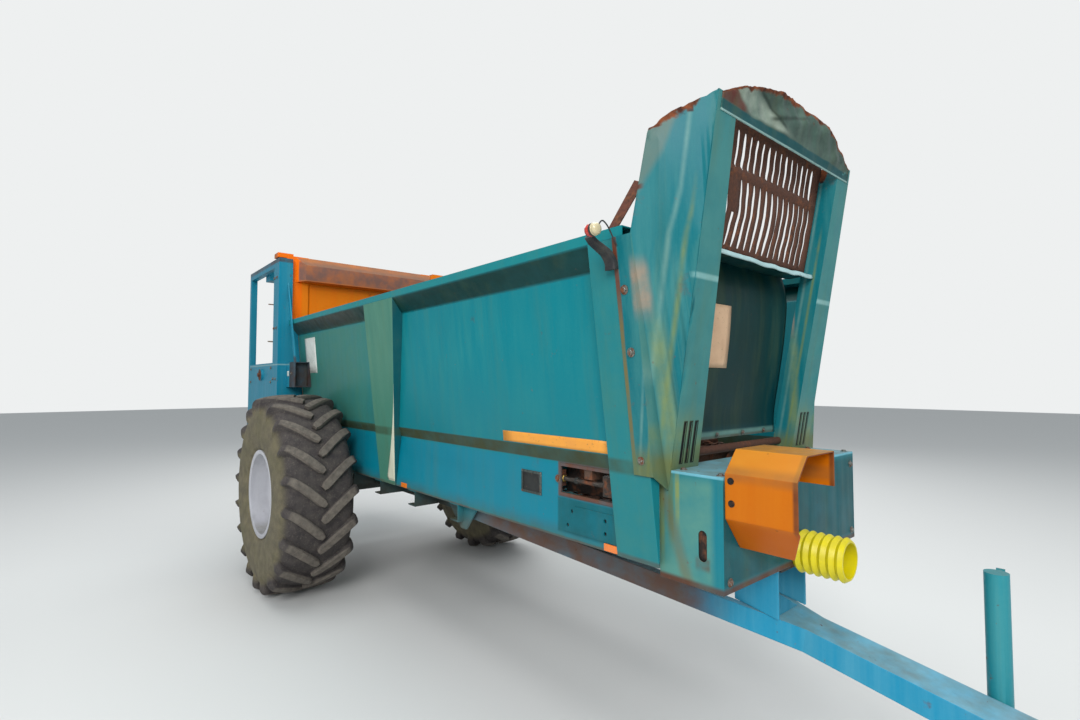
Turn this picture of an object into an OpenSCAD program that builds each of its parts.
// Rear-discharge manure spreader: trailed, one axle, two upright beaters behind a lifting gate.
// +X forward along the drawbar, +Y left, +Z up. Heights are above the ground, stations are
// measured from the axle, and the last lines shift the machine so its length is centred.

/* [Body] */
// Length of the body sides
body_len = 4310; // [4200:10:4400]
// Overhang of the body sides behind the axle
body_overhang = 780; // [770:1:784]
// Height of the lower edge of the body sides
sill_z = 972; // [966:1:985]
// Height of the upright lower panel
panel_h = 364; // [350:1:380]
// Height of the sloping band between lower panel and wall
band_h = 58; // [40:1:70]
// Height of the upper side of the top rail
rail_z = 2327; // [2280:1:2380]
// Half width at the lower panel
panel_half = 645; // [640:1:652]
// Half width at the foot of the upper wall
wall_foot_half = 670; // [662:1:680]
// Half width at the top of the upper wall
wall_top_half = 740; // [725:1:760]
// Half width at the lip of the top rail
rail_half = 830; // [815:1:840]
// Drop from the rail's upper side to the foot of the flare
flare_drop = 147; // [130:1:170]
// Height of the rail's lip
rail_lip = 42; // [30:1:60]
// Width of the rail's upper side
rail_w = 75; // [60:1:85]
// Thickness of the side sheets
wall_t = 5; // [4:0.5:8]
// Thickness of folded posts and pillars
plate_t = 6; // [5:0.5:8]
// Width of the inward lip along the sill
sill_lip = 45; // [30:1:50]

/* [Floor and chain] */
// Thickness of the floor sheet
floor_t = 8; // [5:0.5:10]
// Height of the floor joists
joist_h = 60; // [40:1:70]
// Thickness of a chain strand
strand_t = 30; // [20:1:32]
// Width of a chain strand
strand_w = 24; // [16:1:34]
// Radius of the chain drums
drum_r = 85; // [82:1:88]
// Half spacing of the two chain strands
strand_y = 450; // [420:1:500]
// Number of slats on each run of the chain
slat_count = 8; // [6:1:14]
// Length of a slat along the machine
slat_w = 45; // [30:1:60]
// Station of the front chain shaft
front_shaft_x = 3290; // [3270:1:3310]
// Station of the rear chain shaft
rear_shaft_x = -850; // [-856:1:-846]
// Radius of the chain tensioners' rods
tension_r = 11; // [8:0.5:12]
// Radius of the chain shafts
shaft_r = 30; // [25:1:35]

/* [Wheels] */
// Tyre diameter over the lugs
tyre_d = 1610; // [1600:1:1616]
// Tyre section width
tyre_w = 560; // [540:1:570]
// Distance of each wheel's middle from the centre line
wheel_y = 1000; // [995:1:1010]
// Rim diameter at the bead
rim_d = 660; // [640:1:680]
// Height of the tread lugs
lug_h = 38; // [30:1:42]
// Number of lugs on each half of the tread
lug_count = 20; // [18:1:24]
// Thickness of the rim sheet
rim_t = 10; // [8:1:14]
// Width of the rim between its flanges
rim_w = 508; // [480:1:520]
// Side of the square axle beam
axle_side = 120; // [110:1:130]
// Radius of the wheel spindle
spindle_r = 40; // [35:1:45]
// Running clearance of the wheel on its spindle
spindle_gap = 0.05; // [0.02:0.01:0.1]
// Radius of the brake drum
brake_r = 150; // [130:1:155]

/* [Chassis and drawbar] */
// Height of the chassis rails
rail_beam_h = 107; // [100:1:112]
// Width of the chassis rails
rail_beam_w = 80; // [60:1:100]
// Distance of the chassis rails from the centre line
rail_beam_y = 420; // [400:1:430]
// Station of the drawbar arms' rear ends
arm_x = 2050; // [2030:1:2070]
// Half width over the drawbar arms at their rear ends
arm_half = 590; // [570:1:598]
// Station where the two arms meet
arm_meet_x = 3880; // [3840:5:3920]
// Height of the drawbar's upper side at the arms' rear ends
arm_top_z = 992; // [985:1:996]
// Downward slope of the drawbar, in degrees
bar_slope = 9.6; // [9.2:0.1:9.8]
// Depth of the drawbar
bar_h = 100; // [90:1:106]
// Width of one drawbar arm
arm_w = 90; // [70:1:110]
// Width of the drawbar nose
nose_w = 180; // [160:1:200]
// Station of the nose's front end
nose_x = 5120; // [5050:5:5160]
// Radius of the hitch eye's hole
eye_r = 25; // [20:0.5:30]
// Outer radius of the hitch eye
eye_outer_r = 58; // [50:1:65]
// Thickness of the hitch eye
eye_t = 40; // [30:1:50]
// Station of the hitch eye's centre
eye_x = 5290; // [5270:1:5310]

/* [Front] */
// Station of the pillars' front edge at their foot
pillar_x = 3572; // [3568:1:3580]
// Height of the pillars' foot
pillar_z = 1277; // [1260:1:1300]
// Forward lean of the pillars, in millimetres of run for each of rise
pillar_lean = 0.167; // [0.15:0.001:0.18]
// Height of the pillars' top
pillar_top_z = 2820; // [2780:5:2860]
// Length of the box below the headboard
box_len = 290; // [270:1:310]
// Half width of the front box
box_half = 610; // [600:1:620]
// Height of the upper side of the front box
box_top_z = 1360; // [1350:1:1390]
// Height of the lower edge of the front box
box_foot_z = 927; // [915:1:940]
// Length of the gearbox cover
cover_len = 270; // [240:1:290]
// Height of the power take-off
pto_z = 980; // [970:1:990]
// Radius of the power take-off stub
pto_r = 17.45; // [17:0.05:18]
// Height of the driveline under the floor
drive_z = 945; // [940:1:950]
// Radius of the driveline tube
drive_r = 22; // [18:1:26]

/* [Rear] */
// Reach of the gate's edge beyond the rail's lip
gate_lap = 15; // [12:1:18]
// Rise of the gate's upper edge over the rear posts
gate_rise = 40; // [34:1:50]
// Depth of the folded hood along the gate's upper edge
hood_depth = 90; // [60:5:110]
// Travel of the gate
gate_travel = 1150; // [1100:10:1180]
// Sliding gap between the gate and its guides
gate_gap = 7; // [6:0.5:9]
// Distance of the rear frame's outer face beyond the rail's lip
rear_step = 100; // [96:1:104]
// Height of the rear posts
post_top_z = 2940; // [2920:1:2945]
// Radius of the gate cylinders
barrel_r = 32; // [28:1:34]
// Radius of the gate cylinders' rods
rod_r = 17.5; // [15:0.5:20]
// Running clearance of the rods
rod_gap = 0.4; // [0.3:0.1:0.8]
// Station of the beaters' axes
beater_x = -1420; // [-1430:1:-1412]
// Distance of the beaters' axes from the centre line
beater_y = 440; // [438:1:444]
// Radius over the beater blades
beater_tip_r = 420; // [400:1:424]
// Outer radius of the beaters' helical flights
flight_r = 345; // [300:5:370]
// Rise of a flight in one turn
flight_pitch = 400; // [350:10:450]
// Number of blades in one turn of a flight
blades_a_turn = 6; // [4:1:8]
// Radius of the beater tubes
beater_tube_r = 84; // [70:1:100]
// Radius of the beater shafts
beater_shaft_r = 30; // [26:1:34]
// Height of the spreading table's upper side
table_z = 1102; // [1096:1:1106]
// Station of the spreading table's rear edge
table_x = -1900; // [-1930:5:-1880]

/* [Hidden] */
$fn = 48;
seat_gap = 0.3;
bore_gap = 0.05;
steel_blue = "#1B8C9E";
faded_teal = "#5F8F7E";
light_blue = "#4FA3C4";
gate_orange = "#D97706";
cover_orange = "#E8860A";
rust = "#6B3A2A";
dark = "#3A3D3A";
rubber = "#3B3833";
silver = "#C9CCC8";
yellow = "#D8D010";
amber = "#FF8A10";

body_rear = -body_overhang;
body_front = body_len - body_overhang;
panel_top = sill_z + panel_h;
band_top = panel_top + band_h;
flare_z = rail_z - flare_drop;
lip_z = rail_z - rail_lip;
floor_z = panel_top;
axle_z = tyre_d / 2;
rail_beam_z = axle_z + axle_side / 2;
lamp_rear_x = table_x - 50;
rear_half = rail_half + rear_step;
gate_half = rail_half + gate_lap;
gate_top_z = post_top_z + gate_rise;
lamp_y = rail_half + 150;
lamp_z = lip_z - 2;
centre_x = (eye_x + eye_outer_r + lamp_rear_x) / 2;

// Folded sheet: the outer face follows path, and the sheet lies on the left of it, t thick.
function unit(v) = v / norm(v);
function left_of(v) = [-v[1], v[0]];
function mitre(a, b) =
    let (n = left_of(unit(a)), m = n + left_of(unit(b)))
    m / (m * n);
function offset_path(p, t) = [
    for (i = [0 : len(p) - 1])
        p[i] + t * (
            i == 0 ? left_of(unit(p[1] - p[0])) :
            i == len(p) - 1 ? left_of(unit(p[i] - p[i - 1])) :
            mitre(p[i] - p[i - 1], p[i + 1] - p[i])
        )
];
function reversed(p) = [for (i = [len(p) - 1 : -1 : 0]) p[i]];
module folded(path, t) {
    polygon(concat(path, reversed(offset_path(path, t))));
}

// Extrusions: a (Y, Z) section along X, and an (X, Z) section along Y.
module along_x(x0, x1) {
    translate([x0, 0, 0])
        rotate([90, 0, 90])
            linear_extrude(x1 - x0)
                children();
}
module along_y(y0, y1) {
    translate([0, y1, 0])
        rotate([90, 0, 0])
            linear_extrude(y1 - y0)
                children();
}
module block(low, high) {
    translate(low) cube(high - low);
}
module rod_x(x0, x1, y, z, r) {
    translate([x0, y, z]) rotate([0, 90, 0]) cylinder(r = r, h = x1 - x0);
}
module rod_y(y0, y1, x, z, r) {
    translate([x, y0, z]) rotate([-90, 0, 0]) cylinder(r = r, h = y1 - y0);
}
module rod_z(z0, z1, x, y, r) {
    translate([x, y, z0]) cylinder(r = r, h = z1 - z0);
}
module right() {
    mirror([0, 1, 0]) children();
}
module both() {
    children();
    mirror([0, 1, 0]) children();
}

// Plate between a convex polygon of points in space and its copy moved by v. The points run
// anticlockwise for an eye towards which v points.
module plate_at(points, v) {
    n = len(points);
    polyhedron(
        points = concat(points, [for (p = points) p + v]),
        faces = concat(
            [for (i = [1 : n - 2]) [0, i, i + 1]],
            [for (i = [1 : n - 2]) [n, n + i + 1, n + i]],
            [for (i = [0 : n - 1]) [i, n + i, n + (i + 1) % n]],
            [for (i = [0 : n - 1]) [i, n + (i + 1) % n, (i + 1) % n]]
        ),
        convexity = 4
    );
}

// Convex solid over a few corner points.
module hull_of(points) {
    hull()
        polyhedron(points = points, faces = [[for (i = [0 : len(points) - 1]) i]]);
}

// Body sides: one sheet from the sill's lip to the folded top rail.
side_path = [
    [panel_half - sill_lip, sill_z],
    [panel_half, sill_z],
    [panel_half, panel_top],
    [wall_foot_half, band_top],
    [wall_top_half, flare_z],
    [rail_half, lip_z],
    [rail_half, rail_z],
    [rail_half - rail_w, rail_z],
    [rail_half - rail_w, rail_z - rail_lip + wall_t],
];
function between(a, b, s) = a + (b - a) * s;
function wall_y(z) = between(wall_foot_half, wall_top_half, (z - band_top) / (flare_z - band_top));

front_post_x = body_front - 190;
shaft_z = floor_z - drum_r;
window_x0 = front_shaft_x - 310;
window_x1 = front_shaft_x + 60;
window_z0 = shaft_z - 63;
window_z1 = shaft_z + 62;

window_rim = 14;
plate_z0 = sill_z + 40;
plate_z1 = sill_z + 163;
module side() {
    plate_x1 = front_post_x - seat_gap;
    color(steel_blue)
        difference() {
            union() {
                along_x(body_rear, body_front) folded(side_path, wall_t);
                block([window_x0 - window_rim, panel_half - 1, window_z0 - window_rim],
                    [plate_x1, panel_half + 5, window_z1 + window_rim]);
                along_y(panel_half - 1, panel_half + 4)
                    polygon([
                        [plate_x1 - 340, plate_z0],
                        [plate_x1, plate_z0],
                        [plate_x1, plate_z1],
                        [plate_x1 - 270, plate_z1],
                    ]);
            }
            block([window_x0, panel_half - 20, window_z0], [window_x1, panel_half + 20, window_z1]);
            for (hole = [[-314, 30], [-286, 97], [-74, 35], [-74, 90]])
                rod_y(panel_half - 10, panel_half + 10, front_post_x + hole[0], plate_z0 + hole[1], 9);
        }
}

// Posts: tapered folded channels from the sill to the rail's lip.
post_foot_half = panel_half + 8;
function post_y(z) = between(post_foot_half, rail_half, (z - sill_z) / (lip_z - sill_z));
function trapezoid(foot, head, z0, z1, inset) = [
    [foot[0] + inset, z0],
    [foot[1] - inset, z0],
    [head[1] - inset, z1],
    [head[0] + inset, z1],
];
module post(foot, head) {
    difference() {
        intersection() {
            along_y(0, rail_half + 10) polygon(trapezoid(foot, head, sill_z, lip_z, 0));
            along_x(foot[0] - 10, head[1] + 10)
                polygon([
                    [panel_half, sill_z],
                    [post_foot_half, sill_z],
                    [rail_half, lip_z],
                    [wall_top_half, flare_z],
                    [wall_foot_half, band_top],
                    [panel_half, panel_top],
                ]);
        }
        intersection() {
            along_y(0, rail_half + 10) polygon(trapezoid(foot, head, sill_z, lip_z, plate_t));
            along_x(foot[0] - 10, head[1] + 10)
                polygon([
                    [0, sill_z + 90],
                    [post_y(sill_z + 90) - plate_t, sill_z + 90],
                    [post_y(flare_z) - plate_t, flare_z],
                    [0, flare_z],
                ]);
        }
    }
}
mid_post_x = 970;
module posts() {
    color(faded_teal) {
        post([mid_post_x, mid_post_x + 250], [mid_post_x + 60, mid_post_x + 540]);
        post([front_post_x, front_post_x + 220], [front_post_x, front_post_x + 220]);
    }
}

// Pillars: folded sheets that carry the headboard and grille, leaning forward.
function lean_x(z) = pillar_x + pillar_lean * (z - pillar_z);
pillar_rise = pillar_top_z - pillar_z;
fold_y = [610, 620];
flange_y = [420, 490];
function fold_at(z) = between(fold_y[0], fold_y[1], (z - pillar_z) / pillar_rise);
function flange_at(z) = between(flange_y[0], flange_y[1], (z - pillar_z) / pillar_rise);
pillar_depth = 100;
pillar_half = 500;
strip_z = pillar_z + 63;
wing_z = pillar_top_z - 95;
wing_x = front_post_x + 280;
module pillar() {
    foot_b = [front_post_x + 232, post_y(strip_z) + 1, strip_z];
    mid_b = [front_post_x + 232, post_y(lip_z) + 1, lip_z];
    top_b = [wing_x, 770, wing_z];
    foot_c = [pillar_x, fold_y[0], pillar_z];
    mid_c = [lean_x(lip_z), fold_at(lip_z), lip_z];
    top_c = [lean_x(pillar_top_z), fold_y[1], pillar_top_z];
    foot_d = [pillar_x, flange_y[0], pillar_z];
    top_d = [lean_x(pillar_top_z), flange_y[1], pillar_top_z];
    back = [-pillar_depth, 0, 0];
    front = [plate_t, 0, 0];
    strip = [90, 0, 0];
    seat = [0, 0.5, 0];
    lap = [0, 3, 0];
    color(steel_blue)
        difference() {
            union() {
                plate_at([foot_c, foot_b, mid_b, mid_c], [plate_t, 0, 0]);
                plate_at([mid_c, mid_b, top_b, top_c], [plate_t, 0, 0]);
                plate_at([foot_d, foot_c + lap, top_c + lap, top_d], [plate_t, 0, 0]);
                plate_at([foot_d + back, top_d + back, top_d + front, foot_d + front], [0, plate_t, 0]);
                plate_at([
                    foot_b - strip - seat,
                    mid_b - strip - seat,
                    mid_b + front - seat,
                    foot_b + front - seat
                ], [0, plate_t, 0]);
            }
            block([pillar_x - 2 * pillar_depth, 0, 0],
                [pillar_x + box_len, box_half + seat_gap, box_top_z + seat_gap]);
            for (i = [0 : 2])
                block([pillar_x - 20, 470 + 38 * i, box_top_z + 25],
                    [pillar_x + 120, 484 + 38 * i, box_top_z + 190]);
        }
}

// Headboard: a curved sheet between the pillars, with a bent lip over it.
// Each row: height above the front box, setback behind the pillars' front edge.
headboard_form = [
    [90, 131], [90, 105], [180, 118], [260, 121], [420, 124], [570, 129], [700, 140], [770, 150],
    [850, 172], [940, 210],
];
headboard_path = [for (p = headboard_form) [lean_x(box_top_z + p[0]) - p[1], box_top_z + p[0]]];
module between_pillars(x0, x1, z0, z1) {
    intersection() {
        children();
        along_x(x0, x1)
            polygon([
                [-flange_at(z0) + 1, z0],
                [flange_at(z0) - 1, z0],
                [flange_at(z1) - 1, z1],
                [-flange_at(z1) + 1, z1],
            ]);
    }
}
module headboard() {
    head = headboard_path[len(headboard_path) - 1];
    color(steel_blue)
        between_pillars(head[0] - 200, head[0] + 200, headboard_path[0][1] - 10, head[1] + 30) {
            along_y(-pillar_half, pillar_half) {
                folded(headboard_path, plate_t);
                folded([for (p = [[-6, 3], [27, -32], [157, -28], [163, -50]]) head + p], plate_t);
            }
        }
}

// Grille: two rows of upright slots in a leaning sheet.
grille_z0 = 2345;
grille_z1 = 2840;
module grille() {
    lean = atan(pillar_lean);
    slot_rows = [[30, 250], [290, 450]];
    color(rust)
        translate([lean_x(grille_z0) - pillar_depth + 12, 0, grille_z0])
            rotate([0, lean, 0])
                along_x(0, plate_t)
                    difference() {
                        polygon([
                            [-flange_at(grille_z0) + 1, 0],
                            [flange_at(grille_z0) - 1, 0],
                            [flange_at(grille_z1) - 1, 500],
                            [-flange_at(grille_z1) + 1, 500],
                        ]);
                        for (row = slot_rows, i = [0 : 15])
                            translate([-435 + 54.5 * i, row[0]])
                                square([32, row[1] - row[0]]);
                    }
}

// Visor: arched sheet across the pillars' tops.
module visor() {
    visor_rise = 150;
    half = fold_y[1] - 20;
    radius = (half * half + visor_rise * visor_rise) / (2 * visor_rise);
    color(steel_blue)
        translate([lean_x(pillar_top_z - 70) + plate_t + 0.5, 0, pillar_top_z - 70])
            rotate([0, atan(pillar_lean), 0])
                along_x(0, plate_t)
                    union() {
                        intersection() {
                            translate([-half, 0]) square([2 * half, 300]);
                            translate([0, 70 + visor_rise - radius]) circle(r = radius, $fn = 120);
                        }
                    }
}

// Front box: side and top plates of the drive housing under the headboard.
box_x0 = body_front + seat_gap;
box_x1 = box_x0 + box_len;
module front_box() {
    slot_x = box_x1 - 90;
    color(steel_blue)
        difference() {
            union() {
                along_x(box_x0, box_x1)
                    folded([
                        [box_half, box_foot_z],
                        [box_half, box_top_z],
                        [-box_half, box_top_z],
                        [-box_half, box_foot_z],
                    ], plate_t);
                block([box_x1 - plate_t, -box_half, box_foot_z], [box_x1, box_half, box_top_z]);
            }
            both() {
                block([slot_x - 18, box_half - 20, pto_z + 70], [slot_x + 18, box_half + 20, pto_z + 150]);
                for (rise = [70, 150])
                    rod_y(box_half - 20, box_half + 20, slot_x, pto_z + rise, 18);
            }
            rod_x(box_x1 - 20, box_x1 + 20, 0, pto_z, 70);
        }
}

// Gearbox cover: folded hood in front of the box, on the right-hand side.
module gearbox_cover() {
    x0 = box_x1 + seat_gap;
    x1 = x0 + cover_len;
    half = box_half - 10;
    color(cover_orange)
        right()
            difference() {
                along_x(x0, x1)
                    folded([
                        [half - 100, pto_z + 105],
                        [half, pto_z + 230],
                        [half, box_top_z + 15],
                        [half - 80, box_top_z + 100],
                        [half - 300, box_top_z + 100],
                        [half - 300, box_top_z - 30],
                    ], plate_t);
                along_y(half - 200, half + 100)
                    polygon([[x1 - 110, pto_z + 20], [x1 + 10, pto_z + 20], [x1 + 10, pto_z + 235]]);
            }
}

// Floor sheet on joists between the side panels.
module floor_sheet() {
    half = panel_half - wall_t - seat_gap;
    x0 = rear_shaft_x + drum_r + strand_t;
    x1 = front_shaft_x - drum_r - 15;
    color(rust) {
        block([x0, -half, floor_z - floor_t], [x1, half, floor_z]);
        for (i = [0 : 6])
            block([between(x0 + 40, x1 - 60, i / 6), -half, floor_z - floor_t - joist_h],
                [between(x0 + 40, x1 - 60, i / 6) + 50, half, floor_z - floor_t]);
    }
}

// Floor chain: two strands round the drums, with slats on both runs.
module strand_loop(r) {
    translate([rear_shaft_x, shaft_z]) circle(r = r, $fn = 16);
    translate([front_shaft_x, shaft_z]) circle(r = r, $fn = 16);
    translate([rear_shaft_x, shaft_z - r]) square([front_shaft_x - rear_shaft_x, 2 * r]);
}
module floor_chain() {
    slat_half = panel_half - wall_t - 35;
    pitch = (front_shaft_x - rear_shaft_x) / slat_count;
    color(dark) {
        for (side = [-1, 1])
            along_y(side * strand_y - strand_w / 2, side * strand_y + strand_w / 2)
                difference() {
                    strand_loop(drum_r + seat_gap + strand_t);
                    strand_loop(drum_r + seat_gap);
                }
        for (i = [0 : slat_count - 1], run = [0, 180])
            translate([rear_shaft_x + pitch * (i + 0.5), 0, shaft_z])
                rotate([run, 0, 0])
                    along_y(-slat_half, slat_half)
                        polygon([
                            [-slat_w / 2, drum_r + seat_gap],
                            [slat_w / 2, drum_r + seat_gap],
                            [slat_w / 2 - 6, drum_r + seat_gap + strand_t],
                            [6 - slat_w / 2, drum_r + seat_gap + strand_t],
                        ]);
    }
}

// Chain shafts with their drums and bearing blocks.
module chain_shafts() {
    half = panel_half - wall_t - seat_gap;
    color(dark) {
        for (x = [rear_shaft_x, front_shaft_x]) {
            rod_y(-half + 30, half - 30, x, shaft_z, shaft_r);
            for (side = [-1, 1])
                rod_y(side * strand_y - 22, side * strand_y + 22, x, shaft_z, drum_r);
        }
        both()
            block([front_shaft_x - 45, half - 30, shaft_z - 45], [front_shaft_x + 45, half, shaft_z + 45]);
    }
}

// Chain tensioners: a threaded rod from each front bearing to a plate behind the window.
module tensioner() {
    half = panel_half - wall_t - seat_gap;
    plate_x = window_x0 - 25;
    color(rust) {
        rod_x(plate_x - 45, front_shaft_x - 45 - seat_gap, half - 15, shaft_z, tension_r);
        block([plate_x, half - 40, shaft_z - 40], [plate_x + 12, half, shaft_z + 40]);
        for (x = [plate_x - 18, plate_x + 12, window_x0 + 80])
            translate([x, half - 15, shaft_z])
                rotate([0, 90, 0])
                    cylinder(r = tension_r + 6, h = 18, $fn = 6);
    }
}

// Rear frame: a collar round the body's end and the guide posts of the gate.
gate_front = -body_overhang - 47;
gate_back = gate_front - 28;
collar_x = body_rear - seat_gap;
guide_t = 8;
guide_x1 = gate_front + gate_gap;
guide_x0 = gate_back - gate_gap;
pocket_x0 = guide_x0 - guide_t - 77;
post_x0 = pocket_x0 - guide_t;
post_foot_z = sill_z + 28;
module gate_post() {
    color(steel_blue) {
        along_x(guide_x1, collar_x)
            polygon([
                [panel_half, sill_z],
                [panel_half + 55, sill_z],
                [panel_half + 55, panel_top + 14],
                [rear_half, panel_top + 120],
                [rear_half, post_top_z],
                [rail_half - 30, post_top_z],
                [rail_half - 30, rail_z],
                [wall_top_half, flare_z],
                [wall_foot_half, band_top],
                [panel_half, panel_top],
            ]);
        block([post_x0, rear_half - guide_t, post_foot_z], [guide_x1, rear_half, post_top_z]);
        block([guide_x0 - guide_t, gate_half - 45, post_foot_z], [guide_x0, rear_half, post_top_z]);
        block([post_x0, rear_half - 100, post_foot_z], [pocket_x0, rear_half, post_top_z]);
    }
}

// Rear bearings carry the rear chain shaft on the collar.
module rear_bearings() {
    half = panel_half - wall_t - seat_gap;
    color(dark)
        both()
            difference() {
                block([rear_shaft_x - 50, half - 29, shaft_z - 50],
                    [guide_x1 - seat_gap, panel_half + 50, shaft_z + 50]);
                rod_y(half - 40, half - 30 + seat_gap, rear_shaft_x, shaft_z, shaft_r + seat_gap);
            }
}

// Side beams with raking braces from the posts.
beam_z0 = tyre_d + 60;
beam_z1 = beam_z0 + 240;
module side_beam() {
    beam_half = rail_half + 18;
    beam_x1 = body_rear + 280;
    color(steel_blue) {
        difference() {
            along_x(body_rear, beam_x1)
                polygon([
                    [wall_y(beam_z0) + seat_gap, beam_z0],
                    [beam_half, beam_z0],
                    [beam_half, beam_z1],
                    [wall_y(beam_z1) + seat_gap, beam_z1],
                ]);
            block([beam_x1 - 60, wall_y(beam_z1) + 8, beam_z0 + 8],
                [beam_x1 + 1, beam_half - 8, beam_z1 - 8]);
        }
        along_y(rail_half + 6, beam_half)
            polygon([
                [body_rear, post_top_z - 240],
                [body_rear, post_top_z - 340],
                [beam_x1 - 42, beam_z1 - 5],
                [beam_x1, beam_z1 - 5],
            ]);
    }
}

// Gate: flat sheet with a raised frame and brackets over the posts.
gate_foot_z = floor_z + strand_t + 20;
barrel_x = (guide_x0 - guide_t + pocket_x0) / 2;
barrel_y = rear_half - guide_t - barrel_r - 5;
barrel_z1 = post_top_z - 20;
cap_z0 = post_top_z + 15;
module gate() {
    strip = 230;
    hood_half = rail_half - 50;
    color(gate_orange) {
        block([gate_back, -gate_half, gate_foot_z], [gate_back + 8, gate_half, gate_top_z]);
        both()
            translate([0, 0, gate_foot_z])
                linear_extrude(gate_top_z - gate_foot_z)
                    polygon([
                        [gate_back + 6, gate_half - strip],
                        [gate_front, gate_half - strip + 24],
                        [gate_front, gate_half],
                        [gate_back + 6, gate_half],
                    ]);
        along_y(-gate_half + strip, gate_half - strip)
            polygon([
                [gate_back + 6, gate_foot_z],
                [gate_front, gate_foot_z],
                [gate_front, gate_foot_z + 100],
                [gate_back + 6, gate_foot_z + 120],
            ]);
        difference() {
            intersection() {
                along_y(-hood_half, hood_half)
                    polygon([
                        [gate_back + 6, gate_top_z - 260],
                        [gate_front + hood_depth, gate_top_z - 250],
                        [gate_front + hood_depth, gate_top_z - hood_depth],
                        [gate_back + 16, gate_top_z],
                        [gate_back + 6, gate_top_z],
                    ]);
                translate([0, 0, gate_foot_z])
                    linear_extrude(gate_top_z - gate_foot_z)
                        polygon([
                            [gate_back, -hood_half],
                            [gate_front + hood_depth, -hood_half + hood_depth],
                            [gate_front + hood_depth, hood_half - hood_depth],
                            [gate_back, hood_half],
                        ]);
            }
            along_y(-hood_half + hood_depth + 10, hood_half - hood_depth - 10)
                polygon([
                    [gate_back + 10, gate_top_z - 255],
                    [gate_front + hood_depth - 5, gate_top_z - 245],
                    [gate_front + hood_depth - 5, gate_top_z - hood_depth - 4],
                    [gate_back + 14, gate_top_z - 12],
                    [gate_back + 10, gate_top_z - 12],
                ]);
        }
        both()
            block([post_x0, gate_half - 60, cap_z0], [gate_front, rear_half, cap_z0 + 45]);
    }
}
module gate_rods() {
    color(silver)
        both()
            rod_z(barrel_z1 - gate_travel - 70, cap_z0, barrel_x, barrel_y, rod_r);
}
module gate_barrels() {
    z0 = barrel_z1 - gate_travel - 110;
    color(dark)
        both() {
            difference() {
                rod_z(z0, barrel_z1, barrel_x, barrel_y, barrel_r);
                rod_z(z0 + 30, barrel_z1 + 1, barrel_x, barrel_y, rod_r + rod_gap);
            }
            block([pocket_x0 + seat_gap, barrel_y - 12, z0 - 60],
                [guide_x0 - guide_t - seat_gap, rear_half - guide_t - seat_gap, z0]);
        }
}

// Walls beside the beaters, with a box beam along the upper edge.
table_front_x = rear_shaft_x - drum_r - strand_t - 10;
module beater_wall() {
    wall_x0 = table_x + 50;
    wall_x1 = post_x0 - seat_gap;
    color(steel_blue) {
        block([wall_x0, rear_half - 8, table_z], [wall_x1, rear_half, beam_z1]);
        along_x(wall_x0, wall_x1)
            folded([
                [rear_half - 60, beam_z0],
                [rear_half, beam_z0],
                [rear_half, beam_z1],
                [rear_half - 60, beam_z1],
            ], 8);
        rod_y(rear_half - 1, rear_half + 20, beater_x + 70, (beam_z0 + beam_z1) / 2 + 5, 60);
    }
}
module beater_frame() {
    frame_x0 = table_x + 50;
    color(steel_blue)
        both() {
            block([frame_x0 - 60, rear_half - 60, table_z], [frame_x0 - seat_gap, rear_half, post_top_z]);
            block([frame_x0 - seat_gap, rear_half - 60, post_top_z - 80],
                [post_x0 - seat_gap, rear_half, post_top_z]);
        }
}
module top_beam() {
    color(steel_blue)
        difference() {
            union() {
                block([beater_x - 80, -rear_half + 60 + seat_gap, post_top_z - 140],
                    [beater_x + 80, rear_half - 60 - seat_gap, post_top_z - 20]);
                both() rod_z(post_top_z - 170, post_top_z, beater_x, beater_y, 90);
            }
            both() rod_z(post_top_z - 180, post_top_z - 40, beater_x, beater_y, beater_shaft_r + bore_gap);
        }
}

// Spreading table under the beaters, with its gear case.
module beater_table() {
    color(steel_blue)
        difference() {
            block([table_x, -rear_half, table_z - 12], [table_front_x, rear_half, table_z]);
            both() rod_z(table_z - 20, table_z + 20, beater_x, beater_y, beater_shaft_r + 15);
        }
}
case_x1 = beater_x + 170;
module gear_case() {
    color(dark)
        difference() {
            union() {
                block([beater_x - 130, -beater_y, drive_z - 65], [case_x1, beater_y, table_z - 12]);
                both() rod_z(drive_z - 65, table_z - 12, beater_x, beater_y, 130);
            }
            both() rod_z(drive_z - 30, table_z, beater_x, beater_y, beater_shaft_r + bore_gap);
            rod_x(case_x1 - 40, case_x1 + 10, 0, drive_z, drive_r + bore_gap);
        }
}
beater_z0 = table_z + 18;
beater_z1 = post_top_z - 200;
paddle_h = 90;
module beater() {
    color(rust)
        translate([beater_x, beater_y, 0]) {
            translate([0, 0, drive_z - 29]) cylinder(r = beater_shaft_r, h = post_top_z - 45 - drive_z + 29);
            translate([0, 0, beater_z0]) cylinder(r = beater_tube_r, h = beater_z1 - beater_z0);
            translate([0, 0, beater_z0]) cylinder(r = beater_tip_r - 20, h = 10);
            for (i = [0 : 3])
                rotate([0, 0, 90 * i])
                    translate([beater_tube_r + 60, -5, beater_z0 + 5])
                        cube([beater_tip_r - beater_tube_r - 90, 10, paddle_h]);
        }
}

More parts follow.
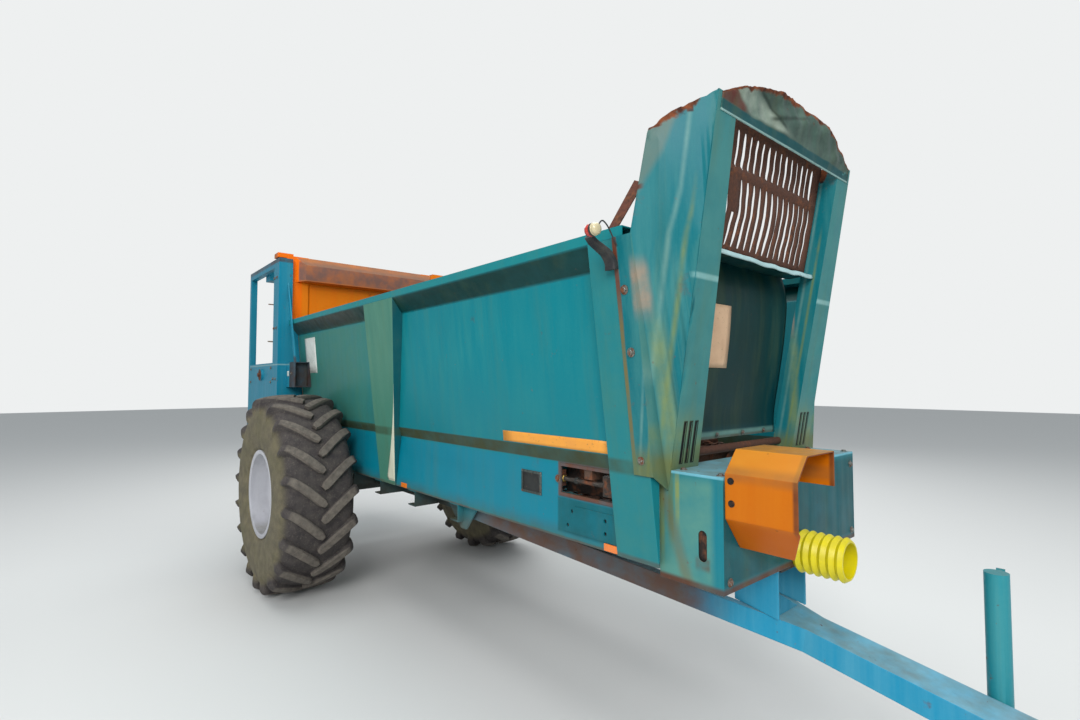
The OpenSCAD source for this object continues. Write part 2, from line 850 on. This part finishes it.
// Flights: a helical band wound up each tube, with a tapered blade bolted on at even turns.
flight_t = 10;
function ring_at(r, a, z) = [r * cos(a), r * sin(a), z];
module flight_band(r0, r1, height) {
    steps = ceil(height / flight_pitch * 16);
    turn = 360 * height / flight_pitch / steps;
    root = r0 / cos(turn / 2);
    points = [
        for (i = [0 : steps])
            let (a = i * turn, z0 = i * height / steps, z1 = z0 + flight_t)
            each [ring_at(root, a, z0), ring_at(r1, a, z0), ring_at(r1, a, z1), ring_at(root, a, z1)]
    ];
    sides = [
        for (i = [0 : steps - 1], k = [0 : 3])
            let (a = 4 * i + k, b = 4 * i + (k + 1) % 4)
            each [[a, b, a + 4], [b, b + 4, a + 4]]
    ];
    polyhedron(points = points, faces = concat([[3, 2, 1, 0]], sides, [[for (k = [0 : 3]) 4 * steps + k]]));
}
module blade() {
    root = 34;
    tip = 20;
    reach = sqrt(beater_tip_r * beater_tip_r - tip * tip) - 0.5;
    hull_of([
        for (z = [flight_t - 1, flight_t + 9])
            each [[flight_r - 70, -root, z], [flight_r - 70, root, z], [reach, -tip, z], [reach, tip, z]]
    ]);
}
module flights() {
    foot = beater_z0 + paddle_h + 30;
    height = beater_z1 - 40 - foot;
    count = floor(height / flight_pitch * blades_a_turn);
    slope = atan(flight_pitch / (2 * PI * flight_r));
    color(rust)
        translate([beater_x, beater_y, foot]) {
            flight_band(beater_tube_r + seat_gap, flight_r, height);
            for (i = [0 : count - 1])
                rotate([0, 0, 360 / blades_a_turn * (i + 0.5)])
                    translate([0, 0, flight_pitch / blades_a_turn * (i + 0.5)])
                        rotate([slope, 0, 0])
                            blade();
        }
}

// Wheels: a revolved carcass with raked lugs, on a dished rim with rolled flanges.
bead_r = rim_d / 2;
bead_half = rim_w / 2 - rim_t - seat_gap;
bead_rise = 26;
crown_r = tyre_d / 2 - lug_h;
hub_face = wheel_y + 45;
// Each row: half width as a share of the tyre's width, height as a share of the carcass.
tyre_form = [[0.38, 1], [0.5, 0.72], [0.5, 0.42]];
tread_sides = 24;
// Each row: turn behind the inner end, drop of the top and of the foot below the tread, half
// widths from the middle at top and foot as shares of the tyre's width, half thickness.
lug_form = [
    [0, 0, 54, 0.02, 0.02, 24],
    [15, 24, 130, 0.455, 0.40, 31],
    [16, 125, 215, 0.499, 0.465, 34],
];
function lug_rib(i) =
    let (
        f = lug_form[i],
        top = tyre_d / 2 - f[1],
        foot = tyre_d / 2 - f[2],
        spread = f[5] / top * 180 / PI
    )
    [
        for (s = [-1, 1])
            each [
                ring_at(top, f[0] + s * spread, f[3] * tyre_w),
                ring_at(foot, f[0] + s * spread, f[4] * tyre_w),
            ]
    ];
module tyre() {
    bore_r = (bead_r + seat_gap) / cos(180 / tread_sides);
    half_profile = concat(
        [for (p = tyre_form) [between(bore_r, crown_r, p[1]), p[0] * tyre_w]],
        [[bore_r + bead_rise, bead_half], [bore_r, bead_half]]
    );
    color(rubber)
        translate([0, wheel_y, axle_z])
            rotate([-90, 0, 0]) {
                rotate_extrude($fn = tread_sides)
                    polygon(concat(half_profile, reversed([for (p = half_profile) [p[0], -p[1]]])));
                for (i = [0 : lug_count - 1], side = [0, 1], k = [0 : len(lug_form) - 2])
                    rotate([0, 0, 360 / lug_count * (i + side / 2)])
                        mirror([0, 0, side])
                            mirror([0, 1, 0])
                                hull_of(concat(lug_rib(k), lug_rib(k + 1)));
            }
}
module rim() {
    edge = rim_w / 2 - rim_t;
    well_r = bead_r - 25;
    color(silver)
        translate([0, 0, axle_z])
            rotate([-90, 0, 0]) {
                rotate_extrude($fn = 72)
                    folded([
                        [bead_r + bead_rise - 1, wheel_y - edge],
                        [bead_r, wheel_y - edge],
                        [bead_r, wheel_y - 150],
                        [well_r, wheel_y - 115],
                        [well_r, wheel_y + 70],
                        [bead_r, wheel_y + 105],
                        [bead_r, wheel_y + edge],
                        [bead_r + bead_rise - 1, wheel_y + edge],
                    ], rim_t);
                rotate_extrude($fn = 72)
                    folded([[82, hub_face], [190, hub_face], [well_r - rim_t + 2, hub_face - 40]], 12);
            }
}
drum_y0 = panel_half + 12;
module hub() {
    color(dark)
        translate([0, 0, axle_z])
            rotate([-90, 0, 0])
                difference() {
                    union() {
                        translate([0, 0, drum_y0]) cylinder(r = brake_r, h = 60);
                        translate([0, 0, drum_y0 + 60]) cylinder(r = 80, h = hub_face + 75 - drum_y0 - 60);
                        translate([0, 0, hub_face - 14]) cylinder(r = 140, h = 14);
                    }
                    translate([0, 0, drum_y0 - 1])
                        cylinder(r = spindle_r + spindle_gap, h = hub_face - drum_y0 + 20);
                }
}
module axle() {
    color(steel_blue) {
        block([-axle_side / 2, -panel_half + 5, axle_z - axle_side / 2],
            [axle_side / 2, panel_half - 5, axle_z + axle_side / 2]);
        both() rod_y(panel_half - 5, hub_face + 10, 0, axle_z, spindle_r);
    }
}
module brakes() {
    color(dark)
        both()
            difference() {
                rod_y(panel_half - 4, drum_y0 - 5, 0, axle_z, brake_r + 4);
                rod_y(panel_half - 10, drum_y0, 0, axle_z, spindle_r + seat_gap);
            }
}

// Chassis ladder under the body.
cross_bars = [-420, 380, 900, 1450, arm_x - 50];
channel_t = 8;
module channel(x0, x1, z0, z1) {
    folded([[x0, z0], [x1, z0], [x1, z1], [x0, z1]], channel_t);
}
module underframe() {
    z0 = rail_beam_z;
    rail_y0 = rail_beam_y - rail_beam_w / 2;
    rear_x = table_front_x - 75;
    color(steel_blue)
        difference() {
            union() {
                both()
                    along_y(arm_half + seat_gap, arm_half + 12)
                        polygon([
                            [arm_x - 190, sill_z],
                            [arm_x - 30, sill_z - 150],
                            [arm_x + 30, sill_z - 150],
                            [arm_x + 150, sill_z],
                        ]);
                both()
                    along_x(rear_x + 30, arm_x - seat_gap)
                        channel(rail_y0, rail_y0 + rail_beam_w, z0, z0 + rail_beam_h);
                for (x = cross_bars)
                    along_y(-panel_half + 5, panel_half - 5)
                        channel(x - 50, x + 50 - seat_gap, z0, z0 + rail_beam_h);
                along_y(-rear_half, rear_half)
                    channel(rear_x, rear_x + 70, sill_z - 60, table_z - 12);
            }
            rod_x(rear_x - 50, arm_x + 50, 0, drive_z, drive_r + 8);
        }
}

// Drawbar: two arms that meet in a nose, sloping down to the hitch eye.
slope_cos = cos(bar_slope);
function down(x) = (x - arm_x) / slope_cos;
module drawbar() {
    color(light_blue)
        intersection() {
            block([arm_x + seat_gap, -arm_half - 10, 0], [nose_x, arm_half + 10, sill_z + bar_h]);
            translate([arm_x, 0, arm_top_z])
                rotate([0, bar_slope, 0])
                    translate([0, 0, -bar_h]) {
                        both()
                            linear_extrude(bar_h)
                                polygon([
                                    [-20, arm_half - arm_w],
                                    [down(arm_meet_x), nose_w / 2 - arm_w + 60],
                                    [down(arm_meet_x), nose_w / 2],
                                    [-20, arm_half],
                                ]);
                        translate([down(arm_meet_x) - 120, -nose_w / 2, 0])
                            cube([down(nose_x) - down(arm_meet_x) + 150, nose_w, bar_h]);
                    }
        }
}
eye_z = arm_top_z - (nose_x - arm_x) * tan(bar_slope) - bar_h / 2;
module hitch_eye() {
    color(rust)
        difference() {
            union() {
                rod_z(eye_z - eye_t / 2, eye_z + eye_t / 2, eye_x, 0, eye_outer_r);
                block([nose_x + seat_gap, -30, eye_z - eye_t / 2],
                    [eye_x - eye_r - 5, 30, eye_z + eye_t / 2]);
            }
            rod_z(eye_z - eye_t, eye_z + eye_t, eye_x, 0, eye_r);
        }
}

// Front gearbox on brackets over the drawbar, with the power take-off stub.
module front_gearbox() {
    x0 = body_front + 40;
    color(dark)
        difference() {
            union() {
                block([x0, -120, drive_z - 45], [box_x1 - plate_t - 20, 120, pto_z + 130]);
                rod_x(x0, box_x1 + 90, 0, pto_z, pto_r);
            }
            rod_x(x0 - 10, x0 + 30, 0, drive_z, drive_r + bore_gap);
        }
}
module gearbox_brackets() {
    x0 = body_front + 50;
    x1 = box_x1 - plate_t - 30;
    color(light_blue)
        both()
            along_y(120 + seat_gap, 132)
                polygon([
                    [x0, arm_top_z - (x0 - arm_x) * tan(bar_slope) + seat_gap],
                    [x1, arm_top_z - (x1 - arm_x) * tan(bar_slope) + seat_gap],
                    [x1, pto_z + 110],
                    [x0, pto_z + 110],
                ]);
}
module driveline() {
    color(dark)
        rod_x(case_x1 - 35, body_front + 40 + 25, 0, drive_z, drive_r);
}
module pto_guard() {
    x0 = box_x1 + seat_gap;
    ribs = 6;
    pitch = 34;
    outer = [for (i = [0 : ribs - 1]) each [[80, i * pitch], [92, i * pitch + pitch / 2]]];
    color(yellow)
        translate([x0, 0, pto_z])
            rotate([0, 90, 0])
                rotate_extrude($fn = 64)
                    polygon(concat(outer, [[80, ribs * pitch], [72, ribs * pitch], [72, 0]]));
}

// Lamps and reflectors.
module rear_lamps() {
    color("firebrick")
        both()
            block([lamp_rear_x, rear_half - 140, table_z + 78],
                [table_x - 10 - seat_gap, rear_half, table_z + 178]);
}
module clearance_lamps() {
    color("white")
        both()
            rod_x(front_post_x + 150, front_post_x + 210, lamp_y, lamp_z, 25);
}
module lamp_arms() {
    foot_z = flare_z - 20;
    color(rubber)
        both()
            plate_at([
                [front_post_x + 150, post_y(foot_z) + plate_t + 1, foot_z],
                [front_post_x + 205, post_y(foot_z) + plate_t + 1, foot_z],
                [front_post_x + 205, lamp_y - 21, lamp_z - 14],
                [front_post_x + 150, lamp_y - 21, lamp_z - 14]
            ], [0, 12, -16]);
}
module side_reflectors() {
    color(amber)
        both()
            for (x = [1350, front_post_x - 40])
                block([x - 40, panel_half + seat_gap, sill_z + 4], [x + 40, panel_half + 7, sill_z + 36]);
}

// Parking jack beside the drawbar nose.
jack_x = arm_meet_x + 590;
jack_y = nose_w / 2 + 45;
bar_z = arm_top_z - (jack_x - arm_x) * tan(bar_slope) - bar_h / 2;
jack_z0 = bar_z - 192;
jack_z1 = bar_z + 488;
module jack_housing() {
    color(steel_blue)
        difference() {
            union() {
                rod_z(jack_z0, jack_z1, jack_x, jack_y, 38);
                block([jack_x - 50, nose_w / 2 + seat_gap, bar_z - 72], [jack_x + 50, jack_y, bar_z + 8]);
                rod_y(jack_y, jack_y + 70, jack_x, jack_z1 - 15, 10);
                block([jack_x - 13, jack_y + 66, jack_z1 - 170], [jack_x + 13, jack_y + 74, jack_z1 - 2]);
                rod_y(jack_y + 70, jack_y + 160, jack_x, jack_z1 - 152, 11);
            }
            rod_z(jack_z0 - 10, jack_z1 - 30, jack_x, jack_y, 30 + 0.3);
        }
}
module jack_leg() {
    color(silver) {
        rod_z(10, jack_z0 + 310, jack_x, jack_y, 30);
        rod_z(0, 12, jack_x, jack_y, 85);
    }
}

translate([-centre_x, 0, 0]) {
    side();  // side_left
    right() side();  // side_right
    posts();  // posts_left
    right() posts();  // posts_right
    pillar();  // pillar_left
    right() pillar();  // pillar_right
    headboard();
    grille();
    visor();
    front_box();
    gearbox_cover();
    floor_sheet();
    floor_chain();
    chain_shafts();
    tensioner();  // tensioner_left
    right() tensioner();  // tensioner_right
    rear_bearings();
    gate_post();  // gate_post_left
    right() gate_post();  // gate_post_right
    side_beam();  // side_beam_left
    right() side_beam();  // side_beam_right
    gate();
    gate_rods();
    gate_barrels();
    beater_wall();  // beater_wall_left
    right() beater_wall();  // beater_wall_right
    beater_frame();
    top_beam();
    beater_table();
    gear_case();
    beater();  // beater_left
    right() beater();  // beater_right
    flights();  // flights_left
    right() flights();  // flights_right
    tyre();  // tyre_left
    right() tyre();  // tyre_right
    rim();  // rim_left
    right() rim();  // rim_right
    hub();  // hub_left
    right() hub();  // hub_right
    axle();
    brakes();
    underframe();
    drawbar();
    hitch_eye();
    front_gearbox();
    gearbox_brackets();
    driveline();
    pto_guard();
    rear_lamps();
    clearance_lamps();
    lamp_arms();
    side_reflectors();
    jack_housing();
    jack_leg();
}
